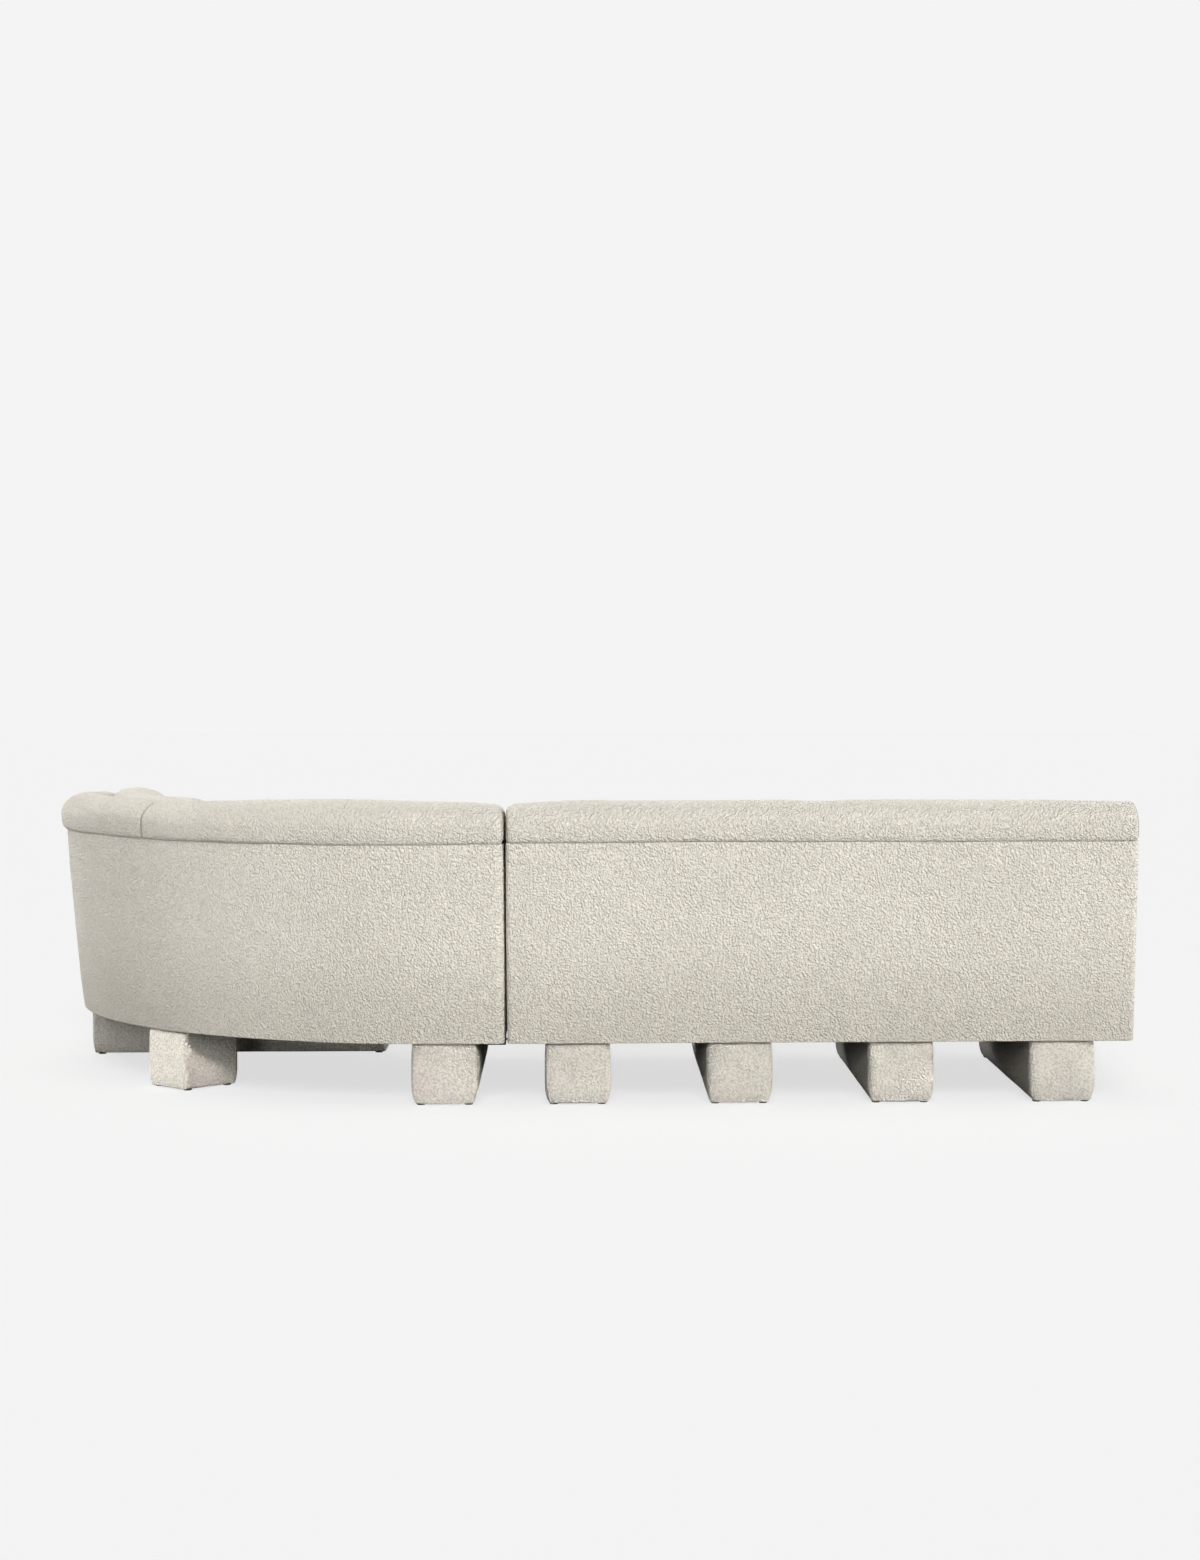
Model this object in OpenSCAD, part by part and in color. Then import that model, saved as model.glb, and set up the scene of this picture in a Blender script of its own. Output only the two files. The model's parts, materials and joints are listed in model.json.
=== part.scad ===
// Two-piece sectional sofa on upholstered block legs: a straight module and a
// quarter-round corner module that push together on plug-in link plates.
// Frame: +Z up, floor at z = 0, back of the sofa towards +Y, front towards -Y.
// The corner module is at +X and its free end points to -Y.
// Section profiles are drawn as [d, z]: d is the distance in from the foot of
// the outer back panel, z is the height. One profile is swept along the
// straight run or round the corner run, so both modules share one section.

/* [Overall] */
// Width of the straight module
straight_w = 1545; // [1400:5:1700]
// Width and depth of the square that the corner module fills
corner_w = 1217; // [1190:1:1250]
// Plan radius of the outer back of the corner module
corner_r = 1083; // [1060:1:1100]
// Depth of the body from the back panel to the front panel
body_d = 875; // [860:5:890]
// Gap between the two modules
module_gap = 6; // [4:1:10]

/* [Heights] */
// Underside of the body
body_z = 155; // [150:1:165]
// Height of the seam under the top roll
seam_z = 651; // [640:1:655]
// Top of the roll
top_z = 750; // [745:1:760]
// Top of the seat cushions
seat_z = 440; // [435:1:445]

/* [Back] */
// How far the outer back leans out between its foot and the seam
lean = 44; // [30:1:50]
// How far the roll bulges beyond the foot of the back panel
bulge = 59; // [55:1:65]
// Thickness of the padded outer panels
panel_t = 14; // [12:1:15]

/* [Legs] */
// Width of a leg block
leg_w = 158; // [144:1:160]
// Length of the long leg blocks
leg_l = 829; // [810:1:830]
// Length of the short block under the middle of the corner
leg_mid_l = 170; // [150:1:180]
// Inset of the legs from the outer back
leg_inset = 22; // [18:1:24]
// Height of a glide
glide_h = 8; // [6:0.5:10]
// Radius of a glide
glide_r = 11; // [9:0.5:12]
// Thickness of the padded sleeve on a leg
sleeve_t = 9; // [7:0.5:9.5]

/* [Springs] */
// Springs across the straight seat
straight_springs_n = 9; // [7:1:9]
// Width of the spring wire
wire = 3.6; // [3:0.1:4]

/* [Hidden] */

// colours
cream = [0.84, 0.815, 0.77];
wood = [0.72, 0.56, 0.38];
steel = [0.66, 0.67, 0.69];
black = [0.10, 0.10, 0.10];
foam = [0.93, 0.89, 0.72];
strap = [0.62, 0.55, 0.45];

// plan: the joint plane is at local X = 0 and the foot of the outer back at
// local Y = 0; org moves that to the middle of the footprint
xc = corner_w - corner_r;       // arc centre, local X
yc = -corner_r;                 // arc centre, local Y
x_lo = -module_gap / 2 - straight_w;
x_hi = corner_w + bulge;
y_lo = -corner_w;
y_hi = bulge;
org = [-(x_lo + x_hi) / 2, -(y_lo + y_hi) / 2, 0];
sx0 = x_lo;                     // free end of the straight module
sx1 = -module_gap / 2;          // its joint end
cx0 = module_gap / 2;           // joint end of the corner module

end_t = 12;                     // end panel
rail_t = 25;                    // hardwood rails
rail_z0 = body_z + 2.5;
rail_z1 = 276;
post_z1 = seam_z - 27;
deck_z0 = 284;
deck_z1 = 296;
back_in = 82;                   // rear face of the inner back pad
groove_d = 78;                  // inner face of the top roll
rear_d = 282;                   // rear of the seat cushions
nose_over = 10;                 // seat nose in front of the front panel

// distance in of the outer and inner faces of the leaning back panel
function out_d(z) = -lean * (z - body_z) / (seam_z - body_z);
function in_d(z) = panel_t + out_d(z);

function ell(cd, cz, a, b, t0, t1, n) =
  [for (i = [0:n]) let (t = t0 + (t1 - t0) * i / n)
    [cd + a * cos(t), cz + b * sin(t)]];

// --- sweeps -----------------------------------------------------------------
// straight sweep of a [d, z] profile between two X positions
module run(x0, x1)
  translate([x1, 0, 0]) rotate([90, 0, -90]) linear_extrude(x1 - x0)
    children();

// sweep of the same profile round the corner, given as points; ins takes the
// sweep back from both ends
module turn(pts, ins = 0) {
  translate([xc, 0, 0]) rotate([90, 0, -90])
    linear_extrude(xc - cx0 - ins) polygon(pts);
  translate([xc, yc, 0]) rotate_extrude(angle = 90)
    polygon([for (p = pts) [corner_r - p[0], p[1]]]);
  translate([corner_w, -corner_w + ins, 0]) rotate([90, 0, 180])
    linear_extrude(corner_w - corner_r - ins) polygon(pts);
}

// places a child, drawn as for the straight run at local X = 0, on the corner
// run at an angle round the arc: 0 faces the back, 90 the outer side
module at_angle(a)
  translate([xc, yc, 0]) rotate([0, 0, -a]) translate([0, corner_r, 0])
    children();

// the corner's free-end leg and frame: the joint-end ones mirrored across
// the corner's diagonal
module across()
  translate([corner_w, -corner_w, 0]) rotate([0, 0, -90])
    mirror([1, 0, 0]) children();

module rrect(w, l, r) {
  // rectangle from [0,0] with true round corners
  translate([r, 0]) square([w - 2 * r, l]);
  translate([0, r]) square([w, l - 2 * r]);
  for (x = [r, w - r], y = [r, l - r]) translate([x, y]) circle(r, $fn = 32);
}

// --- section profiles ---------------------------------------------------------
function back_panel_pts() = [[0, body_z], [panel_t, body_z],
  [in_d(seam_z), seam_z], [out_d(seam_z), seam_z]];
function front_panel_pts() = [[body_d - panel_t, body_z], [body_d, body_z],
  [body_d, deck_z1], [body_d - panel_t, deck_z1]];

// top roll: outer half bulges over the seam, inner half falls to a groove
roll_c = 15;
roll_m = top_z - 60;
function roll_pts() = concat(
  [[groove_d, seam_z + 1], [groove_d, roll_m + 38]],
  ell(roll_c, roll_m, 81.4, 60, 46, 90, 4),
  ell(roll_c, roll_m, roll_c + bulge, 60, 100, 180, 8),
  ell(roll_c, roll_m, roll_c + bulge, 63, 192, 216, 2),
  [[-lean, seam_z + 1]]);

// inner back pad, from the deck to its own rounded top behind the groove
function back_pad_pts() = let (t = top_z - 750)
  [[back_in, deck_z1 + 1], [back_in, 722 + t], [90, 735 + t],
   [104, 744 + t], [127, 748 + t], [152, 745 + t], [176, 736 + t],
   [198, 722 + t], [218, 702 + t], [233, 676 + t], [245, 640 + t],
   [255, 600], [263, 550], [269, 500], [273, 440], [276, 380],
   [277, deck_z1 + 1]];

// seat cushion with a full round nose; i is an inset for the foam inside
nose_r = (seat_z - deck_z1 - 2) / 2;
function seat_pts(i = 0) = let (
  z0 = deck_z1 + 2 + i, z1 = seat_z - i, r = (z1 - z0) / 2,
  zc = (z0 + z1) / 2, dc = body_d + nose_over - nose_r,
  rr = 22 - i)
  concat([[rear_d + i + 4, z0]],
    ell(dc, zc, r, r, -90, 90, 12),
    ell(rear_d + i + rr, z1 - rr, rr, rr, 90, 180, 4),
    [[rear_d + i, z0 + 4]]);

function end_panel_pts() = [[in_d(body_z + 1.5) + 0.5, body_z + 1.5],
  [body_d - panel_t - 0.5, body_z + 1.5], [body_d - panel_t - 0.5, deck_z1],
  [back_in - 1, deck_z1], [back_in - 1, seam_z], [in_d(seam_z) + 0.5, seam_z]];

function top_rail_pts() = [[in_d(post_z1 + 1) + 2, post_z1 + 1],
  [60, post_z1 + 1], [60, seam_z - 1], [in_d(seam_z - 1) + 2, seam_z - 1]];
function post_pts() = [[43, 184], [78, 184], [78, 300],
  [in_d(post_z1) + 62, post_z1], [in_d(post_z1) + 2.5, post_z1],
  [in_d(277) + 2.5, 277], [43, 277]];
// a strap lies on the front of the posts
function strap_pts() = let (s = in_d(post_z1) + 62)
  [[78.6, 302], [80.6, 302], [s + 2.4, post_z1], [s + 0.4, post_z1]];

// --- small hardware -----------------------------------------------------------
// flat sinuous spring lying along +Y from 0 to l
module zigzag(l, amp = 20, waves = 9) {
  n = waves * 8;
  c = [for (i = [0:n]) [amp * cos(360 * waves * i / n), l * i / n]];
  nrm = [for (i = [0:n]) let (
    g = -360 * waves / l * amp * PI / 180 * sin(360 * waves * i / n),
    m = sqrt(1 + g * g)) [1 / m, -g / m]];
  linear_extrude(wire) polygon(concat(
    [for (i = [0:n]) c[i] + nrm[i] * wire / 2],
    [for (i = [n:-1:0]) c[i] - nrm[i] * wire / 2]));
}

// spring clips: a steel saddle over each end of a spring of length l
module clips(l)
  for (y = [-1, l - 8]) translate([18.3, y, 0]) difference() {
    translate([-9, 0, 0]) cube([18, 9, wire + 3]);
    translate([-wire / 2 - 3, -1, -1]) cube([wire + 6, 11, wire + 1.6]);
  }

module bolt() {
  // M8 hex bolt, head down on z = 0, shank below
  cylinder(r = 7.4, h = 5.5, $fn = 6);
  translate([0, 0, -52]) cylinder(r = 4, h = 52.5, $fn = 32);
}

module tee_nut()
  difference() {
    union() {
      translate([0, 0, -1.5]) cylinder(r = 11, h = 1.5, $fn = 32);
      translate([0, 0, -14]) cylinder(r = 5.5, h = 13, $fn = 32);
    }
    translate([0, 0, -15]) cylinder(r = 4.3, h = 16, $fn = 32);
  }

module glide() {
  cylinder(r = glide_r - 1.5, h = 1.5, $fn = 32);
  translate([0, 0, 1.5]) cylinder(r = glide_r, h = glide_h - 1.5, $fn = 32);
  cylinder(r = 1.5, h = glide_h + 20, $fn = 32);
}

// --- legs ---------------------------------------------------------------------
// A leg block from [0,0] in plan, w across and l long. spots() puts children
// at the glide positions, fixings() at the bolt positions.
leg_top = body_z - 0.4;
module spots(w, l) for (x = [20, w - 20], y = [22, l - 22])
  translate([x, y, 0]) children();
module fixings(w, l) {
  n = l > 400 ? [120, l - 120] : [l / 2 - 45, l / 2 + 45];
  for (y = n) translate([w / 2, y, 0]) children();
}
module leg_sleeve(w, l) color(cream) difference() {
  translate([0, 0, glide_h]) linear_extrude(leg_top - glide_h)
    rrect(w, l, 10);
  translate([sleeve_t, sleeve_t, glide_h + sleeve_t])
    linear_extrude(leg_top - glide_h - 2 * sleeve_t)
      rrect(w - 2 * sleeve_t, l - 2 * sleeve_t, 10.5 - sleeve_t);
  spots(w, l) cylinder(r = 1.7, h = 40, $fn = 32);
  fixings(w, l) translate([0, 0, leg_top - 10])
    cylinder(r = 4.6, h = 20, $fn = 32);
}
// timber box inside a sleeve: four walls, corner posts and a top board
module leg_core(w, l) color(wood) difference() {
  translate([sleeve_t + 0.2, sleeve_t + 0.2, glide_h + sleeve_t + 0.2])
    linear_extrude(leg_top - glide_h - 2 * sleeve_t - 0.4)
      rrect(w - 2 * sleeve_t - 0.4, l - 2 * sleeve_t - 0.4,
        10.3 - sleeve_t);
  translate([20, 45, 0]) cube([w - 40, l - 90, leg_top - 21]);
  translate([45, 20, 0]) cube([w - 90, l - 40, leg_top - 21]);
  spots(w, l) cylinder(r = 1.6, h = glide_h + 22, $fn = 32);
  fixings(w, l) {
    translate([0, 0, leg_top - 60]) cylinder(r = 5.6, h = 70, $fn = 32);
    translate([0, 0, leg_top - sleeve_t - 2])
      cylinder(r = 11.2, h = 10, $fn = 32);
  }
}
module leg_nuts(w, l) fixings(w, l)
  translate([0, 0, leg_top - sleeve_t - 0.4]) tee_nut();
module leg_bolts(w, l) fixings(w, l) translate([0, 0, 182.3]) bolt();
module leg_glides(w, l) spots(w, l) glide();

// the straight module's legs are spaced evenly with this margin at both ends
leg_margin = 94;
leg_step = (straight_w - 2 * leg_margin - leg_w) / 3;
function leg_x(i) = sx1 - leg_margin - leg_w - i * leg_step;
module at_straight_leg(i)
  translate([leg_x(i), -leg_inset - leg_l, 0]) children();
// the corner's legs: one near the joint, a short one on the diagonal and one
// near the free end
corner_margin = 72;
module at_joint_leg()
  translate([cx0 + corner_margin, -leg_inset - leg_l, 0]) children();
leg_mid_r = corner_r - 19 - leg_mid_l;
module at_middle_leg()
  translate([xc, yc, 0]) rotate([0, 0, -45])
    translate([-leg_w / 2, leg_mid_r, 0]) children();

// --- frame ---------------------------------------------------------------------
rail_f = body_d - panel_t - 2;  // front face of the front rail
module bearer(w, l) difference() {
  translate([16, 20, rail_z0]) cube([w - 32, l - 44, 24.5]);
  fixings(w, l) translate([0, 0, rail_z0 - 1])
    cylinder(r = 4.6, h = 30, $fn = 32);
}
module straight_rail(d0, x0, x1) color(wood)
  run(x0, x1) polygon([[d0, rail_z0], [d0 + rail_t, rail_z0],
    [d0 + rail_t, rail_z1], [d0, rail_z1]]);
function rail_pts(d0) = [[d0, rail_z0], [d0 + rail_t, rail_z0],
  [d0 + rail_t, rail_z1], [d0, rail_z1]];

// springs run from the middle of the back rail to the middle of the front one
spring_d = 16 + rail_t / 2;
spring_l = rail_f - rail_t / 2 - spring_d;
spring_gap = (straight_w - 236) / (straight_springs_n - 1);
function spring_x(i) = sx0 + 118 + i * spring_gap;
spring_a = [9, 27, 45, 63, 81]; // radial springs of the corner
spring_x_end = cx0 + 115;       // its first and last springs are parallel
// posts stand between the springs
post_x = [sx0 + 64, spring_x(floor(straight_springs_n / 2) - 1.5),
  spring_x(floor(straight_springs_n / 2) + 1.5), sx1 - 64];
post_a = [18, 36, 54, 72];
strap_x = [for (i = [0:8]) sx0 + 150 + i * (straight_w - 300) / 8];
strap_a = [5, 12, 27, 45, 63, 78, 85];

// --- link hardware between the modules -----------------------------------------
link_d = [150, 720];
module link_socket() color(black) difference() {
  translate([cx0 + 1, -30, 137]) cube([54, 60, body_z - 137]);
  translate([cx0 - 5, -21.5, 142.5]) cube([55, 43, 7]);
}
module link_tongue() color(steel) {
  translate([-62, -20, 144]) cube([90, 40, 4]);
  translate([28, 0, 144]) cylinder(r = 20, h = 4, $fn = 48);
  translate([-62, -20, 147.5]) cube([54, 40, body_z - 147.5]);
}

// --- straight module --------------------------------------------------------------
module straight_back_rail()
  straight_rail(16, sx0 + end_t + 0.5, sx1 - end_t - 0.5);
module straight_front_rail()
  straight_rail(rail_f - rail_t, sx0 + end_t + 0.5, sx1 - end_t - 0.5);
module straight_end_rails() for (x = [sx0 + end_t + 0.5,
  sx1 - end_t - 0.5 - rail_t]) color(wood)
    translate([x, -rail_f + rail_t + 0.2, rail_z0])
      cube([rail_t, rail_f - 2 * rail_t - 16.4, rail_z1 - rail_z0]);
module straight_leg_bearers() color(wood)
  for (i = [0:3]) at_straight_leg(i) bearer(leg_w, leg_l);
module straight_back_posts() color(wood)
  for (x = post_x) run(x - 25, x + 25) polygon(post_pts());
module straight_top_rail() color(wood)
  run(sx0 + end_t + 1, sx1 - end_t - 1) polygon(top_rail_pts());
module straight_corner_blocks() color(wood) {
  x0 = sx0 + end_t + rail_t + 0.8;
  x1 = sx1 - end_t - rail_t - 0.8;
  yb = -81;
  yf = -rail_f + rail_t + 0.2;
  translate([0, 0, 200]) linear_extrude(45) {
    polygon([[x0, yb], [x0 + 70, yb], [x0, yb - 70]]);
    polygon([[x1, yb], [x1, yb - 70], [x1 - 70, yb]]);
    polygon([[x0, yf], [x0, yf + 70], [x0 + 70, yf]]);
    polygon([[x1, yf], [x1 - 70, yf], [x1, yf + 70]]);
  }
}
module straight_seat_springs() color(steel)
  for (i = [0:straight_springs_n - 1])
    translate([spring_x(i), -spring_d - spring_l, rail_z1 + 0.2])
      zigzag(spring_l);
module straight_spring_clips() color(steel)
  for (i = [0:straight_springs_n - 1])
    translate([spring_x(i), -spring_d - spring_l, rail_z1 + 0.1])
      clips(spring_l);
module straight_back_webbing() color(strap)
  for (x = strap_x) run(x - 25, x + 25) polygon(strap_pts());
module straight_seat_deck() color(cream)
  translate([sx0 + end_t + 0.5, -body_d + panel_t + 0.5, deck_z0])
    cube([straight_w - 2 * end_t - 1, body_d - panel_t - 0.5 - back_in - 0.5,
      deck_z1 - deck_z0]);
module straight_dust_cover() color(black) difference() {
  translate([sx0 + 1, -body_d + panel_t + 0.5, body_z])
    cube([straight_w - 2, body_d - 2 * panel_t - 1, 1.2]);
  for (i = [0:3]) at_straight_leg(i) fixings(leg_w, leg_l)
    translate([0, 0, 150]) cylinder(r = 5, h = 10, $fn = 32);
}
module straight_leg_bolts() color(steel)
  for (i = [0:3]) at_straight_leg(i) leg_bolts(leg_w, leg_l);
module straight_leg_tee_nuts() color(steel)
  for (i = [0:3]) at_straight_leg(i) leg_nuts(leg_w, leg_l);
module straight_link_tongues()
  for (d = link_d) translate([0, -d, 0]) link_tongue();
module straight_back_panel() color(cream)
  run(sx0, sx1) polygon(back_panel_pts());
module straight_front_panel() color(cream)
  run(sx0, sx1) polygon(front_panel_pts());
module straight_end_panel_joint() color(cream)
  run(sx1 - end_t, sx1) polygon(end_panel_pts());
module straight_end_panel_free() color(cream)
  run(sx0, sx0 + end_t) polygon(end_panel_pts());
module straight_top_roll() color(cream) run(sx0, sx1) polygon(roll_pts());
module straight_back_cushion() color(cream)
  run(sx0 + 1, sx1 - 1) polygon(back_pad_pts());
module straight_leg_cores() for (i = [0:3]) at_straight_leg(i)
  leg_core(leg_w, leg_l);
module straight_glides() color(black) for (i = [0:3]) at_straight_leg(i)
  leg_glides(leg_w, leg_l);

// loose seat cushions: a sewn cover round a foam block
seat_mid = (sx0 + sx1) / 2;
module seat_cover(x0, x1) color(cream) difference() {
  run(x0, x1) polygon(seat_pts(0));
  run(x0 + 3, x1 - 3) polygon(seat_pts(3));
}
module seat_foam(x0, x1) color(foam)
  run(x0 + 3.4, x1 - 3.4) polygon(seat_pts(3.4));

// --- corner module ------------------------------------------------------------------
module corner_outer_rail() color(wood) turn(rail_pts(16), end_t + 0.5);
module corner_inner_rail() color(wood)
  turn(rail_pts(rail_f - rail_t), end_t + 0.5);
module corner_end_rail() translate([cx0 + end_t + 0.5,
  -rail_f + rail_t + 0.2, rail_z0])
    cube([rail_t, rail_f - 2 * rail_t - 16.4, rail_z1 - rail_z0]);
module corner_end_rails() color(wood) {
  corner_end_rail();
  across() corner_end_rail();
}
module joint_bearer() at_joint_leg() bearer(leg_w, leg_l);
module corner_leg_bearers() color(wood) {
  joint_bearer();
  across() joint_bearer();
  at_middle_leg() difference() {
    translate([16, 254 - leg_mid_r, rail_z0])
      cube([leg_w - 32, leg_mid_r - 254 + leg_mid_l - 30, 24.5]);
    fixings(leg_w, leg_mid_l) translate([0, 0, rail_z0 - 1])
      cylinder(r = 4.6, h = 30, $fn = 32);
  }
}
module corner_back_posts() color(wood) {
  run(cx0 + 39, cx0 + 89) polygon(post_pts());
  across() run(cx0 + 39, cx0 + 89) polygon(post_pts());
  for (a = post_a) at_angle(a) run(-25, 25) polygon(post_pts());
}
module corner_top_rail() color(wood) turn(top_rail_pts(), end_t + 1);
module corner_springs_at(z) {
  translate([spring_x_end, -spring_d - spring_l, z]) children();
  across() translate([spring_x_end, -spring_d - spring_l, z]) children();
  for (a = spring_a) at_angle(a)
    translate([0, -spring_d - spring_l, z]) children();
}
module corner_seat_springs() color(steel)
  corner_springs_at(rail_z1 + 0.2) zigzag(spring_l);
module corner_spring_clips() color(steel)
  corner_springs_at(rail_z1 + 0.1) clips(spring_l);
module corner_back_webbing() color(strap)
  for (a = strap_a) at_angle(a) run(-25, 25) polygon(strap_pts());
module corner_seat_deck() color(cream)
  turn([[back_in + 0.5, deck_z0], [body_d - panel_t - 0.5, deck_z0],
    [body_d - panel_t - 0.5, deck_z1], [back_in + 0.5, deck_z1]],
    end_t + 0.5);
module corner_dust_cover() color(black) difference() {
  turn([[panel_t + 0.5, body_z], [body_d - panel_t - 0.5, body_z],
    [body_d - panel_t - 0.5, body_z + 1.2], [panel_t + 0.5, body_z + 1.2]],
    1);
  at_joint_leg() fixings(leg_w, leg_l) translate([0, 0, 150])
    cylinder(r = 5, h = 10, $fn = 32);
  across() at_joint_leg() fixings(leg_w, leg_l) translate([0, 0, 150])
    cylinder(r = 5, h = 10, $fn = 32);
  at_middle_leg() fixings(leg_w, leg_mid_l) translate([0, 0, 150])
    cylinder(r = 5, h = 10, $fn = 32);
}
module corner_leg_bolts() color(steel) {
  at_joint_leg() leg_bolts(leg_w, leg_l);
  across() at_joint_leg() leg_bolts(leg_w, leg_l);
  at_middle_leg() leg_bolts(leg_w, leg_mid_l);
}
module corner_leg_tee_nuts() color(steel) {
  at_joint_leg() leg_nuts(leg_w, leg_l);
  across() at_joint_leg() leg_nuts(leg_w, leg_l);
  at_middle_leg() leg_nuts(leg_w, leg_mid_l);
}
module corner_link_sockets()
  for (d = link_d) translate([0, -d, 0]) link_socket();
module corner_back_panel() color(cream) turn(back_panel_pts());
module corner_front_panel() color(cream) turn(front_panel_pts());
module corner_end_panel_joint() color(cream)
  run(cx0, cx0 + end_t) polygon(end_panel_pts());
module corner_end_panel_free() color(cream)
  across() run(0, end_t) polygon(end_panel_pts());
module corner_top_roll() color(cream) turn(roll_pts());
module corner_back_cushion() color(cream) turn(back_pad_pts(), 1);
module corner_leg_cores() {
  at_joint_leg() leg_core(leg_w, leg_l);
  across() at_joint_leg() leg_core(leg_w, leg_l);
  at_middle_leg() leg_core(leg_w, leg_mid_l);
}
module corner_glides() color(black) {
  at_joint_leg() leg_glides(leg_w, leg_l);
  across() at_joint_leg() leg_glides(leg_w, leg_l);
  at_middle_leg() leg_glides(leg_w, leg_mid_l);
}
module corner_seat_cover() color(cream) difference() {
  turn(seat_pts(0), 3);
  turn(seat_pts(3), 6);
}
module corner_seat_foam() color(foam) turn(seat_pts(3.4), 6.4);

translate(org) {
  corner_outer_rail();
  corner_inner_rail();
  corner_end_rails();
  corner_leg_bearers();
  corner_back_posts();
  corner_top_rail();
  corner_seat_springs();
  corner_spring_clips();
  corner_back_webbing();
  corner_seat_deck();
  corner_dust_cover();
  corner_leg_bolts();
  corner_leg_tee_nuts();
  corner_link_sockets();
  corner_back_panel();
  corner_end_panel_joint();
  corner_end_panel_free();
  corner_front_panel();
  corner_top_roll();
  corner_back_cushion();
  at_joint_leg() leg_sleeve(leg_w, leg_l);  // corner_leg_joint
  at_middle_leg() leg_sleeve(leg_w, leg_mid_l);  // corner_leg_middle
  across() at_joint_leg() leg_sleeve(leg_w, leg_l);  // corner_leg_free
  corner_leg_cores();
  corner_glides();
  corner_seat_cover();
  corner_seat_foam();
  straight_back_rail();
  straight_front_rail();
  straight_end_rails();
  straight_leg_bearers();
  straight_back_posts();
  straight_top_rail();
  straight_corner_blocks();
  straight_seat_springs();
  straight_spring_clips();
  straight_back_webbing();
  straight_seat_deck();
  straight_dust_cover();
  straight_leg_bolts();
  straight_leg_tee_nuts();
  straight_link_tongues();
  straight_back_panel();
  straight_end_panel_joint();
  straight_end_panel_free();
  straight_front_panel();
  straight_top_roll();
  straight_back_cushion();
  at_straight_leg(0) leg_sleeve(leg_w, leg_l);  // straight_leg_1
  at_straight_leg(1) leg_sleeve(leg_w, leg_l);  // straight_leg_2
  at_straight_leg(2) leg_sleeve(leg_w, leg_l);  // straight_leg_3
  at_straight_leg(3) leg_sleeve(leg_w, leg_l);  // straight_leg_4
  straight_leg_cores();
  straight_glides();
  seat_cover(seat_mid + 2, sx1 - 3);  // seat_cover_inner
  seat_foam(seat_mid + 2, sx1 - 3);  // seat_foam_inner
  seat_cover(sx0 + 3, seat_mid - 2);  // seat_cover_outer
  seat_foam(sx0 + 3, seat_mid - 2);  // seat_foam_outer
}
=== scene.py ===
# Looks for the two-piece boucle sectional: soft upholstery built in mesh code round
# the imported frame. All lengths in the mesh code are millimetres in the
# part's own section coordinates; OUT() turns them into metres in the row frame.
import bpy
import bmesh
import json
import math
import numpy as np
from mathutils import Matrix, Vector

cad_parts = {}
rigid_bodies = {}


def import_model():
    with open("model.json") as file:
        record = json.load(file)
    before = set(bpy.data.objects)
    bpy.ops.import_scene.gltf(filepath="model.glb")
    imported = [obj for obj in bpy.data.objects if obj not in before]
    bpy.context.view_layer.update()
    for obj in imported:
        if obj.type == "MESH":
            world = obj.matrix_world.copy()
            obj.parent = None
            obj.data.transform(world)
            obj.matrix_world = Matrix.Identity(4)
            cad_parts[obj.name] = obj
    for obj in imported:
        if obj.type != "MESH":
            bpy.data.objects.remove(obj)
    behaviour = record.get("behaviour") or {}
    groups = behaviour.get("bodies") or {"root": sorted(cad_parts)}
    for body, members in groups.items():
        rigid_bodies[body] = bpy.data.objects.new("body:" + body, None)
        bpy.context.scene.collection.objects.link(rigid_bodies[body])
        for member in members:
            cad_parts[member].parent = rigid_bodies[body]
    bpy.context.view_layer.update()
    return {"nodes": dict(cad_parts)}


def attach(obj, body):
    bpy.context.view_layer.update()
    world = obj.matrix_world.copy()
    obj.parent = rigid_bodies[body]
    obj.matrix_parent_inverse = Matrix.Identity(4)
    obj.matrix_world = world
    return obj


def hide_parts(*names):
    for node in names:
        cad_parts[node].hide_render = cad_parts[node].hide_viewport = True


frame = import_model()
scene = bpy.context.scene

# ---------------------------------------------------------------- section and plan
ORG = np.array([136.0, 579.0, 0.0])      # from the joint plane / back foot to the row frame
XC, YC, R = 134.0, -1083.0, 1083.0       # corner arc
CW = 1217.0
GAP = 3.0
SW = 1545.0                              # straight module
BZ, SEAM, TOP = 155.0, 651.0, 750.0
LEAN, BULGE, BD = 44.0, 59.0, 875.0
L1 = XC - GAP
LA = R * math.pi / 2
L3 = CW - R
CL = L1 + LA + L3                        # corner run along the back foot
CMID = L1 + LA / 2


def out_d(z):
    return -LEAN * (z - BZ) / (SEAM - BZ)


def straight_map(s, d, z):
    """s runs from the joint to the free end."""
    return np.stack([-GAP - s, -d, z + 0 * s], -1)


def corner_map(s, d, z):
    s, d, z = np.broadcast_arrays(np.asarray(s, float), np.asarray(d, float), np.asarray(z, float))
    a = np.clip((s - L1) / R, 0, math.pi / 2)
    before = np.minimum(s - L1, 0)
    after = np.maximum(s - L1 - LA, 0)
    x = XC + before + (R - d) * np.sin(a)
    y = YC + (R - d) * np.cos(a) - after
    return np.stack([x, y, z], -1)


def OUT(p):
    return (p + ORG) / 1000.0


# ---------------------------------------------------------------- noise in numpy
def _hash(ix, iy, iz, seed):
    h = (ix * 374761393 + iy * 668265263 + iz * 2147483647 + seed * 1274126177) & 0xFFFFFFFF
    h = ((h ^ (h >> 13)) * 1274126177) & 0xFFFFFFFF
    h = (h ^ (h >> 16)) & 0xFFFFFFFF
    return h / 4294967295.0


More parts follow.
